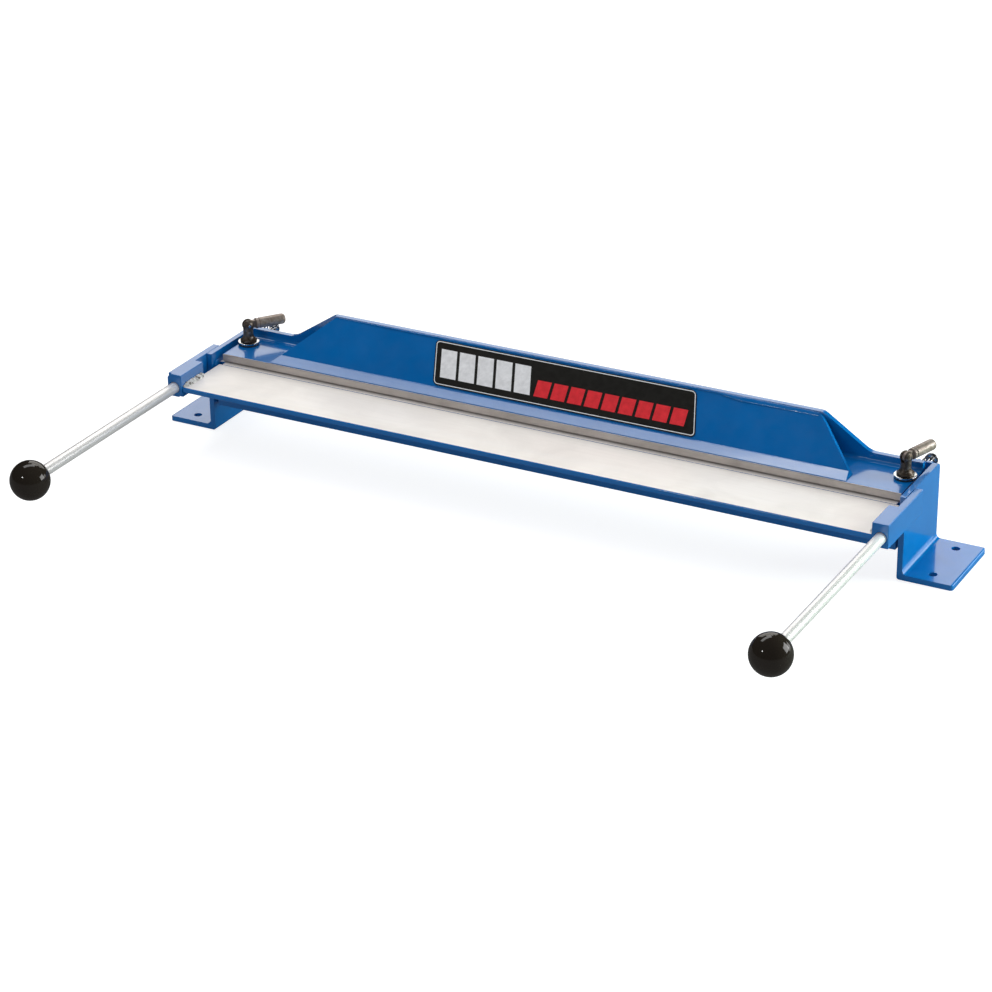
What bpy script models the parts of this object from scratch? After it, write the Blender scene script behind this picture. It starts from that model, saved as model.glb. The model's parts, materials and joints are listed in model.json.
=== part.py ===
"""Sheet metal brake (bench folder), 762 mm working width.

Metres, +Z up, +X to the right hand of someone at the handles, handles towards -Y.
Z = 0 is the underside of the mounting feet. The folding leaf turns up about the hinge
line, the clamp bar is lifted by its springs as the two clamp nuts are unscrewed, and
each clamp nut carries a folding lever.
"""
import math

import bmesh
import bpy
from mathutils import Matrix, Vector

MM = 0.001
GAP = 0.3 * MM                  # clearance between faces that touch in the real object
BOND = 0.02 * MM                # merge distance for revolved profiles

# ---- driving dimensions -------------------------------------------------------------
HINGE_Y, HINGE_Z = 126.5 * MM, 77 * MM        # leaf hinge line, along X at the bed's top
PLATE = 6 * MM                              # thickness of the bed, leaf and end angles

SIDE_IN = 404 * MM                          # inner face of each end bracket
SIDE_OUT = SIDE_IN + PLATE
SIDE_Y0, SIDE_Y1 = 117 * MM, 212.5 * MM     # front and rear edge of the end brackets
SIDE_TOP = 91.4 * MM
FOOT_OUT = 463.5 * MM                       # outer edge of the mounting feet
FOOT_HOLE_X = 436.9 * MM
FOOT_HOLE_Y = (132.3 * MM, 197 * MM)
FOOT_HOLE_R = 4.5 * MM

LEG_BOTTOM = 30.3 * MM                        # lower edge of the bed's and leaf's legs
BED_Y0, BED_Y1 = HINGE_Y + 0.3 * MM, 200.5 * MM
LEAF_Y0, LEAF_Y1 = 53 * MM, HINGE_Y - 0.3 * MM

ARM_IN, ARM_OUT = 400.7 * MM, 418.5 * MM    # handle arms
ARM_Z0, ARM_Z1 = 65.5 * MM, 91.4 * MM
ARM_Y0, ARM_STEP, ARM_Y1 = 50.9 * MM, 95 * MM, 143.3 * MM

ROD_X, ROD_Z, ROD_R = 410 * MM, 76 * MM, 6 * MM
KNOB_Y, KNOB_R = -213.55 * MM, 21 * MM

BAR_HALF = 399.3 * MM                       # clamp bar
BAR_Y0, BAR_Y1 = 132.3 * MM, 197 * MM
BAR_Z0, BAR_Z1 = 79 * MM, 87 * MM
BAR_END_TOP, BAR_RIDGE = 96.5 * MM, 130.9 * MM
RIDGE_HALF, SLOPE_HALF = 289.7 * MM, 338 * MM

PANEL_Y0, PANEL_HALF, PANEL_T = 148.4 * MM, 335.2 * MM, 3 * MM
TOE_Y, TOE_HALF = 134.2 * MM, 339.5 * MM    # front edge of the panel's wedge-shaped foot
BEND_RISE = 3.1 * MM                        # height of the foot where the panel starts

STUD_X, STUD_Y, STUD_R = 388.9 * MM, 169.8 * MM, 4 * MM
LEVER_Z = 110 * MM                          # lever pivot above the feet
LEVER_TURN = {"left": 53, "right": 73}      # plan direction of each lever, degrees from +X
LEVER_LEN = 43.5 * MM

ADJ_X, ADJ_Z = 394 * MM, 83 * MM            # set-back adjusters behind the bar
ADJ_Y1 = 234.55 * MM
TAB_Y0, TAB_Y1 = 204 * MM, 208 * MM

SIDES = (("left", -1), ("right", 1))


# ---- scene and materials --------------------------------------------------------------
for old in list(bpy.data.objects):
    bpy.data.objects.remove(old, do_unlink=True)

PARTS = bpy.data.collections.new("sheet_metal_brake")
CUTTERS = bpy.data.collections.new("cutters")
for coll in (PARTS, CUTTERS):
    bpy.context.scene.collection.children.link(coll)
CUTTERS.hide_render = True

PALETTE = {
    "blue_paint": ((0.012, 0.17, 0.47, 1), 0.0, 0.34),
    "bare_steel": ((0.62, 0.60, 0.57, 1), 1.0, 0.36),
    "zinc": ((0.78, 0.79, 0.80, 1), 1.0, 0.24),
    "black_oxide": ((0.10, 0.085, 0.075, 1), 0.9, 0.42),
    "spring_steel": ((0.16, 0.16, 0.17, 1), 1.0, 0.38),
    "phenolic": ((0.008, 0.008, 0.009, 1), 0.0, 0.12),
    "brass": ((0.72, 0.52, 0.22, 1), 1.0, 0.3),
    "weld_metal": ((0.55, 0.55, 0.55, 1), 1.0, 0.45),
    "label": ((0.02, 0.02, 0.02, 1), 0.0, 0.4),
}


def material(name):
    """Principled material from the palette, one per sub-part family."""
    found = bpy.data.materials.get(name)
    if found:
        return found
    colour, metallic, roughness = PALETTE[name]
    made = bpy.data.materials.new(name)
    made.use_nodes = True
    shader = made.node_tree.nodes["Principled BSDF"]
    shader.inputs["Base Color"].default_value = colour
    shader.inputs["Metallic"].default_value = metallic
    shader.inputs["Roughness"].default_value = roughness
    return made


# ---- shape helpers ------------------------------------------------------------------
def add(name, mesh, finish=None):
    """Link a mesh as a sub-part, or as a cutter when it has no finish."""
    part = bpy.data.objects.new(name, mesh)
    if finish:
        mesh.materials.append(material(finish))
        PARTS.objects.link(part)
    else:
        part.display_type = "WIRE"
        part.hide_render = True
        CUTTERS.objects.link(part)
    return part


def mesh_from(name, bm):
    bmesh.ops.recalc_face_normals(bm, faces=bm.faces)
    mesh = bpy.data.meshes.new(name)
    bm.to_mesh(mesh)
    bm.free()
    return mesh


def block(name, low, high, finish=None):
    """Box between two corners, with its origin at its middle."""
    low, high = Vector(low), Vector(high)
    bm = bmesh.new()
    bmesh.ops.create_cube(bm, size=1, matrix=Matrix.Diagonal((*(high - low), 1)))
    part = add(name, mesh_from(name, bm), finish)
    part.location = (low + high) / 2
    return part


def prism(name, outline, axis, start, end, finish=None):
    """Outline in the plane across an axis, pulled from start to end along it.

    The outline's pairs are (Y, Z) across X, (X, Z) across Y and (X, Y) across Z.
    """
    place = {"X": lambda a, b: (start, a, b), "Y": lambda a, b: (a, start, b),
             "Z": lambda a, b: (a, b, start)}[axis]
    pull = Vector([end - start if axis == letter else 0 for letter in "XYZ"])
    bm = bmesh.new()
    face = bm.faces.new([bm.verts.new(place(a, b)) for a, b in outline])
    grown = bmesh.ops.extrude_face_region(bm, geom=[face])["geom"]
    bmesh.ops.translate(bm, vec=pull, verts=[v for v in grown if isinstance(v, bmesh.types.BMVert)])
    return add(name, mesh_from(name, bm), finish)


def arc(centre, radius, start, end, steps=5):
    """Points of an arc, angles in degrees, both ends included."""
    for step in range(steps + 1):
        turn = math.radians(start + (end - start) * step / steps)
        yield (centre[0] + radius * math.cos(turn), centre[1] + radius * math.sin(turn))


AXIS_TURN = {"Z": (0, 0, 0), "Y": (-math.pi / 2, 0, 0), "X": (0, math.pi / 2, 0)}


def turned(name, profile, place, axis="Z", finish=None, steps=28, ring=False):
    """Profile of (radius, height), outer side from top to bottom, turned about an axis."""
    bm = bmesh.new()
    verts = [bm.verts.new((radius, 0, height)) for radius, height in profile]
    for first, second in zip(verts, verts[1:]):
        bm.edges.new((first, second))
    if ring:
        bm.edges.new((verts[-1], verts[0]))
    mesh = bpy.data.meshes.new(name)
    bm.to_mesh(mesh)
    bm.free()
    part = add(name, mesh, finish)
    part.location = place
    part.rotation_euler = AXIS_TURN[axis]
    screw = part.modifiers.new("Screw", "SCREW")
    screw.axis = "Z"
    screw.steps = steps
    screw.render_steps = steps
    screw.use_merge_vertices = True
    screw.merge_threshold = BOND
    return part


def rod(name, radius, start, end, place, axis="Z", finish=None, steps=28, edge=0.0):
    """Round bar from start to end along an axis, its ends chamfered by edge."""
    profile = [(0, end), (radius - edge, end), (radius, end - edge)]
    profile += [(radius, start + edge), (radius - edge, start), (0, start)]
    if not edge:
        profile = [(0, end), (radius, end), (radius, start), (0, start)]
    return turned(name, profile, place, axis, finish, steps)


def washer(name, hole, radius, start, end, place, axis="Z", finish=None, steps=28):
    """Flat ring."""
    profile = [(hole, end), (radius, end), (radius, start), (hole, start)]
    return turned(name, profile, place, axis, finish, steps, ring=True)


def hex_nut(name, hole, radius, start, end, place, axis="Z", finish=None):
    """Hexagon nut with a round hole; radius is to its corners."""
    part = rod(name, radius, start, end, place, axis, finish, steps=6, edge=0.5 * MM)
    cut(part, rod("cut_" + name, hole, start - 2 * MM, end + 2 * MM, place, axis, steps=24))
    return part


def bevel(part, width, segments=2, angle=35):
    mod = part.modifiers.new("Bevel", "BEVEL")
    mod.width = width
    mod.segments = segments
    mod.limit_method = "ANGLE"
    mod.angle_limit = math.radians(angle)
    return mod


def cut(part, *cutters, operation="DIFFERENCE"):
    for cutter in cutters:
        mod = part.modifiers.new("Cut", "BOOLEAN")
        mod.operation = operation
        mod.solver = "EXACT"
        mod.object = cutter


def coil(name, wire, radius, pitch_points, place, axis, finish, per_turn=16):
    """Coil spring; pitch_points are the heights reached after each turn."""
    turns = len(pitch_points) - 1
    curve = bpy.data.curves.new(name, "CURVE")
    curve.dimensions = "3D"
    curve.bevel_depth = wire
    curve.bevel_resolution = 1
    curve.use_fill_caps = True
    line = curve.splines.new("POLY")
    line.points.add(turns * per_turn)
    for step, point in enumerate(line.points):
        whole, part_turn = divmod(step, per_turn)
        low = pitch_points[whole]
        high = pitch_points[min(whole + 1, turns)]
        angle = 2 * math.pi * part_turn / per_turn
        rise = low + (high - low) * part_turn / per_turn
        point.co = (radius * math.cos(angle), radius * math.sin(angle), rise, 1)
    shaper = bpy.data.objects.new(name + "_curve", curve)
    PARTS.objects.link(shaper)
    bpy.context.view_layer.update()
    bm = bmesh.new()
    bm.from_mesh(shaper.to_mesh())
    bmesh.ops.remove_doubles(bm, verts=bm.verts, dist=BOND / 2)
    bpy.data.objects.remove(shaper, do_unlink=True)
    bpy.data.curves.remove(curve)
    part = add(name, mesh_from(name, bm), finish)
    part.location = place
    part.rotation_euler = AXIS_TURN[axis]
    return part


def empty(name, place, turn=0):
    """Parent for a moving piece, standing on its joint's axis."""
    holder = bpy.data.objects.new(name, None)
    PARTS.objects.link(holder)
    holder.location = place
    holder.rotation_euler = (0, 0, math.radians(turn))
    return holder


def hang(holder, *parts):
    """Parent parts to a holder and keep where they stand."""
    bpy.context.view_layer.update()
    for part in parts:
        part.parent = holder
        part.matrix_parent_inverse = holder.matrix_world.inverted()


def mirror_outline(outline, sign):
    return [(sign * a, b) for a, b in outline]


# ---- fixed frame: end brackets and bed ------------------------------------------------
def end_bracket(side, sign):
    """Angle standing at one end, foot outwards, bored for the hinge pin and two bolts."""
    fillet, heel, toe = 5 * MM, 2.5 * MM, 1.5 * MM
    outline = [(SIDE_IN, SIDE_TOP), (SIDE_IN, heel)]
    outline += [(SIDE_IN + heel, 0), (FOOT_OUT, 0), (FOOT_OUT, PLATE - toe), (FOOT_OUT - toe, PLATE)]
    outline += list(arc((SIDE_OUT + fillet, PLATE + fillet), fillet, 270, 180))
    outline += [(SIDE_OUT, SIDE_TOP)]
    part = prism(f"end_bracket_{side}", mirror_outline(outline, sign), "Y", SIDE_Y0, SIDE_Y1,
                 "blue_paint")
    crown, nip = 7 * MM, 3.5 * MM
    corner = [(SIDE_Y1 + crown, SIDE_TOP + crown), (SIDE_Y1 - crown, SIDE_TOP + crown)]
    corner += list(arc((SIDE_Y1 - crown, SIDE_TOP - crown), crown, 90, 0))
    corner += [(SIDE_Y1 + crown, SIDE_TOP - crown)]
    cuts = [prism(f"cut_crown_{side}", corner, "X", sign * (SIDE_IN - GAP), sign * (SIDE_OUT + GAP))]
    for end, face, way in (("front", SIDE_Y0, -1), ("rear", SIDE_Y1, 1)):
        nick = [(FOOT_OUT - nip, face), (FOOT_OUT, face - way * nip), (FOOT_OUT + nip, face - way * nip),
                (FOOT_OUT + nip, face + way * nip), (FOOT_OUT - nip, face + way * nip)]
        cuts.append(prism(f"cut_nick_{end}_{side}", mirror_outline(nick, sign), "Z",
                          -PLATE, 2 * PLATE))
    for number, hole_y in enumerate(FOOT_HOLE_Y):
        cuts.append(rod(f"cut_foot_{number}_{side}", FOOT_HOLE_R, -PLATE, 2 * PLATE,
                        (sign * FOOT_HOLE_X, hole_y, 0), steps=24))
    cuts.append(rod(f"cut_pin_{side}", PIN_R + GAP, -2 * PLATE, 2 * PLATE,
                    (sign * SIDE_IN, HINGE_Y, HINGE_Z), "X"))
    cut(part, *cuts)
    return part


PIN_R = 5 * MM


def bed():
    """Fixed angle between the brackets, with a slotted adjuster tab at each rear corner."""
    half, root = SIDE_IN - GAP, 4 * MM
    leg_in = BED_Y0 + PLATE
    outline = [(BED_Y0, LEG_BOTTOM), (leg_in, LEG_BOTTOM)]
    outline += list(arc((leg_in + root, HINGE_Z - PLATE - root), root, 180, 90))
    outline += [(TAB_Y1, HINGE_Z - PLATE), (TAB_Y1, HINGE_Z), (BED_Y0, HINGE_Z)]
    part = prism("bed", outline, "X", -half, half, "blue_paint")
    tab_in, tab_out = ADJ_X - 9 * MM, half
    cut(part, block("cut_bed_rear", (-tab_in, BED_Y1, 0), (tab_in, TAB_Y1 + PLATE, SIDE_TOP)))
    slot = ADJ_Z - 4.6 * MM
    for side, sign in SIDES:
        tab = [(tab_in, HINGE_Z - 2 * MM), (tab_out, HINGE_Z - 2 * MM), (tab_out, 92 * MM),
               (ADJ_X + 3.4 * MM, 92 * MM), (ADJ_X + 3.4 * MM, slot), (ADJ_X - 3.4 * MM, slot),
               (ADJ_X - 3.4 * MM, 92 * MM), (tab_in + 3 * MM, 92 * MM), (tab_in, 89 * MM)]
        cut(part, prism(f"join_tab_{side}", mirror_outline(tab, sign), "Y", TAB_Y0, TAB_Y1),
            operation="UNION")
        cut(part, rod(f"cut_stud_{side}", STUD_R + GAP, -12 * MM, 6 * MM,
                      (sign * STUD_X, STUD_Y, HINGE_Z)),
            block(f"cut_pin_room_{side}",
                  (sign * (half - 3 * MM) - 4 * MM, BED_Y0 - 2 * MM, HINGE_Z - PIN_R - 1.5 * MM),
                  (sign * (half - 3 * MM) + 4 * MM, HINGE_Y + PIN_R + 1.5 * MM, HINGE_Z + 2 * MM)))
    return part


def bed_weld(side, sign):
    """Fillet weld that joins the bed's underside to the bracket."""
    leg, wall, under = 5 * MM, SIDE_IN - GAP, HINGE_Z - PLATE - GAP
    outline = [(wall, under), (wall, under - leg), (wall - 0.5 * leg, under - 0.62 * leg),
               (wall - leg, under)]
    return prism(f"bed_weld_{side}", mirror_outline(outline, sign), "Y",
                 145 * MM, 195 * MM, "weld_metal")


def hinge_pin(side, sign):
    """Pin through the arm and the bracket, flush with the arm's outer face."""
    inner, outer = SIDE_IN - 1.5 * MM, ARM_OUT - GAP
    part = rod(f"hinge_pin_{side}", PIN_R, inner, outer, (0, HINGE_Y, HINGE_Z), "X", "zinc",
               edge=0.4 * MM)
    if sign < 0:
        part.rotation_euler = (0, -math.pi / 2, 0)
    return part


def clamp_stud(side, sign):
    """Stud that stands up through the bed and the bar."""
    place = (sign * STUD_X, STUD_Y, 0)
    return rod(f"clamp_stud_{side}", STUD_R, 55 * MM, 99 * MM, place, "Z", "zinc", edge=0.6 * MM)


def stud_nut(side, sign):
    """Hexagon nut under the bed that holds the stud."""
    top = HINGE_Z - PLATE - GAP
    return hex_nut(f"stud_nut_{side}", STUD_R + GAP, 7.5 * MM, top - 6.5 * MM, top,
                   (sign * STUD_X, STUD_Y, 0), "Z", "zinc")


def lift_spring(side, sign):
    """Coil spring round the stud, between the bed and the bar's counterbore."""
    low, high = HINGE_Z + 1.15 * MM, BAR_Z0 + 5 * MM - 1.15 * MM
    heights = [low + (high - low) * turn / 3 for turn in range(4)]
    return coil(f"lift_spring_{side}", 0.8 * MM, 6.2 * MM, heights,
                (sign * STUD_X, STUD_Y, 0), "Z", "spring_steel", per_turn=14)


# ---- folding leaf ------------------------------------------------------------------
def leaf():
    """Folding leaf: flat plate with a leg at the hinge line that stops on the bed's leg."""
    root, toe = 4 * MM, 1 * MM
    under, leg_in = HINGE_Z - PLATE, LEAF_Y1 - PLATE
    outline = [(LEAF_Y1, HINGE_Z), (LEAF_Y1, LEG_BOTTOM), (leg_in, LEG_BOTTOM)]
    outline += list(arc((leg_in - root, under - root), root, 0, 90))
    outline += [(LEAF_Y0 + toe, under), (LEAF_Y0, under + toe), (LEAF_Y0, HINGE_Z - toe),
                (LEAF_Y0 + toe, HINGE_Z)]
    half = ARM_IN - GAP
    return prism("folding_leaf", outline, "X", -half, half, "bare_steel")


def leaf_weld(side, sign):
    """Fillet weld along the foot of the arm, on the leaf's top face."""
    leg, wall, top = 5 * MM, ARM_IN - GAP, HINGE_Z + GAP
    outline = [(wall, top), (wall - leg, top), (wall - 0.55 * leg, top + 0.55 * leg),
               (wall, top + 0.8 * leg)]
    return prism(f"leaf_weld_{side}", mirror_outline(outline, sign), "Y",
                 ARM_Y0 + 3.6 * MM, ARM_STEP - 1.5 * MM, "weld_metal")


def arm(side, sign):
    """Handle arm: thick in front, halved to an outer plate beside the bracket."""
    outline = [(ARM_IN, ARM_Y0), (ARM_OUT, ARM_Y0), (ARM_OUT, ARM_Y1), (SIDE_OUT + GAP, ARM_Y1),
               (SIDE_OUT + GAP, ARM_STEP), (ARM_IN, ARM_STEP)]
    part = prism(f"arm_{side}", mirror_outline(outline, sign), "Z", ARM_Z0, ARM_Z1, "blue_paint")
    bevel(part, 0.8 * MM, 1)
    nick = 4 * MM
    corner = [(ARM_OUT - nick, ARM_Z1), (ARM_OUT, ARM_Z1 - nick), (ARM_OUT + nick, ARM_Z1 - nick),
              (ARM_OUT + nick, ARM_Z1 + nick), (ARM_OUT - nick, ARM_Z1 + nick)]
    cut(part,
        rod(f"cut_arm_pin_{side}", PIN_R + GAP, -2 * PLATE, 2 * PLATE,
            (sign * ARM_OUT, HINGE_Y, HINGE_Z), "X"),
        rod(f"cut_arm_rod_{side}", ROD_R + GAP, -5 * MM, 20 * MM + GAP,
            (sign * ROD_X, ARM_Y0, ROD_Z), "Y"))
    if side == "left":
        cut(part, prism(f"cut_arm_corner_{side}", mirror_outline(corner, sign), "Y",
                        ARM_Y0 - nick, ARM_Y0 + 3 * MM))
    return part


def handle_rod(side, sign):
    """Round handle rod, pressed into the arm, necked down inside the knob."""
    neck = KNOB_Y + 18 * MM
    inner = ARM_Y0 + 20 * MM
    profile = [(0, inner), (ROD_R - 0.8 * MM, inner), (ROD_R, inner - 0.8 * MM), (ROD_R, neck),
               (4.5 * MM, neck), (4.5 * MM, KNOB_Y - 1 * MM), (0, KNOB_Y - 1 * MM)]
    return turned(f"handle_rod_{side}", profile, (sign * ROD_X, 0, ROD_Z), "Y", "zinc")


def knob(side, sign):
    """Ball knob with a flat and a bore at the rod's side."""
    flat = 17.5 * MM
    bore_r, bottom = 7 * MM, -3.2 * MM
    limit = math.degrees(math.asin(flat / KNOB_R))
    profile = [(0, bottom), (bore_r, bottom), (bore_r, flat)]
    profile += list(arc((0, 0), KNOB_R, limit, -90, 14))
    profile = profile[:-1] + [(0, -KNOB_R)]
    return turned(f"knob_{side}", profile, (sign * ROD_X, KNOB_Y, ROD_Z), "Y", "phenolic",
                  steps=32)


def knob_insert(side, sign):
    """Threaded brass sleeve moulded into the knob."""
    return washer(f"knob_insert_{side}", 4.5 * MM + GAP, 7 * MM - GAP, -2.6 * MM, 17.2 * MM,
                  (sign * ROD_X, KNOB_Y, ROD_Z), "Y", "brass", steps=24)


# ---- clamp bar --------------------------------------------------------------------
def clamp_bar():
    """Angle bar with a high rear leg that slopes down to both ends."""
    leg_front, root, nose = BAR_Y1 - PLATE, 5 * MM, 1.2 * MM
    outline = [(BAR_Y0, BAR_Z0), (BAR_Y1 - 2 * MM, BAR_Z0), (BAR_Y1, BAR_Z0 + 2 * MM)]
    outline += [(BAR_Y1, BAR_RIDGE), (leg_front, BAR_RIDGE)]
    outline += list(arc((leg_front - root, BAR_Z1 + root), root, 0, -90))
    outline += [(BAR_Y0 + nose, BAR_Z1), (BAR_Y0, BAR_Z1 - nose)]
    part = prism("clamp_bar", outline, "X", -BAR_HALF, BAR_HALF, "blue_paint")
    sweep = 22 * MM
    slope = math.atan2(BAR_RIDGE - BAR_END_TOP, SLOPE_HALF - RIDGE_HALF)
    run = sweep * math.tan(slope / 2)
    above = BAR_RIDGE + 5 * MM
    waste = [(RIDGE_HALF, above), (RIDGE_HALF, BAR_RIDGE)]
    waste += list(arc((SLOPE_HALF + run, BAR_END_TOP + sweep), sweep,
                      270 - math.degrees(slope), 270, 6))
    waste += [(BAR_HALF + 5 * MM, BAR_END_TOP), (BAR_HALF + 5 * MM, above)]
    for side, sign in SIDES:
        cut(part, prism(f"cut_slope_{side}", mirror_outline(waste, sign), "Y",
                        leg_front - 5 * MM, BAR_Y1 + 5 * MM))
        place = (sign * STUD_X, STUD_Y, 0)
        cut(part,
            rod(f"cut_bar_stud_{side}", 5 * MM, BAR_Z0 - 2 * MM, BAR_Z1 + 2 * MM, place),
            rod(f"cut_bar_spring_{side}", 7.6 * MM, BAR_Z0 - 2 * MM, BAR_Z0 + 5 * MM, place),
            rod(f"cut_bar_adjuster_{side}", 2.5 * MM + GAP, BAR_Y1 - 14 * MM, BAR_Y1 + 2 * MM,
                (sign * ADJ_X, 0, ADJ_Z), "Y", steps=20))
    return part


def panel_height(y):
    """Height of the leaning panel's front face at a given Y."""
    return BAR_Z1 + GAP + (y - PANEL_Y0)


def stiffener_panel():
    """Plate from the bar's flat up to its ridge at 45 degrees, on a shallow wedge foot."""
    back = BAR_Y1 - PLATE - GAP
    skew = PANEL_T * math.sqrt(2)
    base = BAR_Z1 + GAP
    outline = [(TOE_Y, base), (PANEL_Y0 + skew, base), (back, panel_height(back) - skew),
               (back, panel_height(back)), (PANEL_Y0 + BEND_RISE, base + BEND_RISE),
               (TOE_Y, base + GAP)]
    part = prism("stiffener_panel", outline, "X", -TOE_HALF, TOE_HALF, "blue_paint")
    top = panel_height(back)
    waste = [(TOE_HALF, BAR_Z1 - 1 * MM), (TOE_HALF, base + GAP), (PANEL_HALF, base + BEND_RISE),
             (RIDGE_HALF - 3 * MM, top), (RIDGE_HALF - 3 * MM, top + 5 * MM),
             (TOE_HALF + 5 * MM, top + 5 * MM), (TOE_HALF + 5 * MM, BAR_Z1 - 1 * MM)]
    for side, sign in SIDES:
        cut(part, prism(f"cut_panel_{side}", mirror_outline(waste, sign), "Y",
                        TOE_Y - 5 * MM, BAR_Y1))
    return part


def ridge_weld():
    """Weld along the ridge, over the joint of the panel and the rear leg."""
    back = BAR_Y1 - PLATE - GAP
    top = panel_height(back)
    outline = [(back, top + GAP), (back, BAR_RIDGE - 0.2 * MM), (back - 1.4 * MM, top + 0.5 * MM),
               (back - 1.2 * MM, top - 1.2 * MM + 1.5 * GAP)]
    return prism("ridge_weld", outline, "X", -RIDGE_HALF + 4 * MM, RIDGE_HALF - 4 * MM, "blue_paint")


def label_plate():
    """Thin maker's plate on the panel: a leaning parallelogram with rounded corners."""
    low, high, half = -152.9 * MM, 158.3 * MM, 25.4 * MM
    corner, thick, lean = 5.5 * MM, 0.8 * MM, 0.295
    outline = list(arc((high - corner, half - corner), corner, 0, 90))
    outline += list(arc((low + corner, half - corner), corner, 90, 180))
    outline += list(arc((low + corner, corner - half), corner, 180, 270))
    outline += list(arc((high - corner, corner - half), corner, 270, 360))
    part = prism("label_plate", [(x - lean * y, y) for x, y in outline], "Z", 0, thick, "label")
    middle = PANEL_Y0 + 22.4 * MM
    lift = GAP / math.sqrt(2)
    part.location = (0, middle - lift, panel_height(middle) + lift)
    part.rotation_euler = (math.pi / 4, 0, 0)
    return part


def clamp_washers(side, sign):
    """Dark spacer under a bright washer, resting on the bar."""
    place = (sign * STUD_X, STUD_Y, 0)
    spacer_top = BAR_Z1 + GAP + 1.6 * MM
    spacer = washer(f"spacer_{side}", STUD_R + 2 * GAP, 11.5 * MM, BAR_Z1 + GAP, spacer_top,
                    place, "Z", "black_oxide")
    bright = washer(f"washer_{side}", STUD_R + 2 * GAP, 12 * MM, spacer_top + GAP,
                    spacer_top + GAP + 1.7 * MM, place, "Z", "zinc")
    return spacer, bright


def set_back_adjuster(side, sign):
    """Stud in the bar's rear edge, through the bed's tab, with its spring and nut."""
    place = (sign * ADJ_X, 0, ADJ_Z)
    stud = rod(f"adjuster_stud_{side}", 2.5 * MM, BAR_Y1 - 13 * MM, ADJ_Y1, place, "Y", "zinc",
               steps=20, edge=0.5 * MM)
    start, nut_face, thin = TAB_Y1 + 0.4 * MM, ADJ_Y1 - 2.6 * MM, 0.8 * MM
    seats = [washer(f"adjuster_{name}_{side}", 2.5 * MM + GAP, 6.8 * MM, face, face + thin,
                    place, "Y", "zinc", steps=24)
             for name, face in (("seat", start), ("washer", nut_face - GAP - thin))]
    wire = 0.9 * MM
    first, last = start + thin + GAP + wire, nut_face - 2 * GAP - thin - wire
    spring = coil(f"adjuster_spring_{side}", wire, 6.2 * MM,
                  [first, first + 2.1 * wire, last - 7 * MM, last], place, "Y", "spring_steel",
                  per_turn=18)
    nut = hex_nut(f"adjuster_nut_{side}", 2.5 * MM + GAP, 4.6 * MM, nut_face, nut_face + 2.2 * MM,
                  place, "Y", "zinc")
    return stud, *seats, spring, nut


# ---- clamp nuts and folding levers ------------------------------------------------------
def clamp_nut(side, place, turn):
    """Flanged post with a blind bore for the stud and a slotted round head."""
    flange, shank, ball = 9.2 * MM, 5.6 * MM, 6.6 * MM
    base = BAR_Z1 + 3 * GAP + 3.3 * MM
    foot = base - LEVER_Z
    seat = math.degrees(math.asin(-math.sqrt(1 - (shank / ball) ** 2)))
    profile = [(0, ball)] + list(arc((0, 0), ball, 80, seat, 9))
    profile += [(shank, foot + 7 * MM), (shank + 0.7 * MM, foot + 5.2 * MM),
                (flange, foot + 1.8 * MM), (flange, foot), (STUD_R + GAP, foot),
                (STUD_R + GAP, 102.4 * MM - LEVER_Z),
                (0, 102.4 * MM - LEVER_Z)]
    part = turned(f"clamp_nut_{side}", profile, place, "Z", "black_oxide")
    part.rotation_euler = (0, 0, turn)
    slot = block(f"cut_slot_{side}", (-9 * MM, -TONGUE / 2 - GAP, -5.2 * MM),
                 (9 * MM, TONGUE / 2 + GAP, 9 * MM))
    slot.matrix_world = Matrix.Translation(place) @ Matrix.Rotation(turn, 4, "Z") @ \
        Matrix.Translation((0, 0, 1.9 * MM))
    hole = rod(f"cut_lever_pin_{side}", LEVER_PIN_R + GAP, -9 * MM, 9 * MM, place, "Y", steps=20)
    hole.rotation_euler = (-math.pi / 2, 0, turn)
    cut(part, slot, hole)
    return part


TONGUE = 4 * MM
LEVER_PIN_R = 1.7 * MM


def clamp_lever(side, place, turn):
    """Lever: a flat tongue in the head's slot, a collar, a groove and a round-ended bar."""
    round_r = 5.9 * MM
    tip = LEVER_LEN
    nose = 3.2 * MM
    profile = [(0, tip)]
    profile += list(arc((round_r - nose, tip - nose), nose, 90, 0, 4))
    profile += [(round_r, 12.8 * MM), (round_r - 0.7 * MM, 12.8 * MM), (round_r - 0.7 * MM, 11.4 * MM),
                (round_r, 11.4 * MM), (round_r, 8.6 * MM), (0, 8.6 * MM)]
    part = turned(f"clamp_lever_{side}", profile, place, "X", "black_oxide")
    part.rotation_euler = (0, math.pi / 2, turn)
    outline = list(arc((0, 0), 4.6 * MM, 90, 270, 10)) + [(9.4 * MM, -4.2 * MM), (9.4 * MM, 4.2 * MM)]
    tongue = prism(f"join_tongue_{side}", outline, "Y", -TONGUE / 2, TONGUE / 2)
    tongue.matrix_world = Matrix.Translation(place) @ Matrix.Rotation(turn, 4, "Z")
    hole = rod(f"cut_tongue_{side}", LEVER_PIN_R + GAP, -9 * MM, 9 * MM, place, "Y", steps=20)
    hole.rotation_euler = (-math.pi / 2, 0, turn)
    cut(part, tongue, operation="UNION")
    cut(part, hole)
    return part


def lever_pin(side, place, turn):
    part = rod(f"lever_pin_{side}", LEVER_PIN_R, -5.9 * MM, 5.9 * MM, place, "Y", "zinc", steps=20)
    part.rotation_euler = (-math.pi / 2, 0, turn)
    return part


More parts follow.
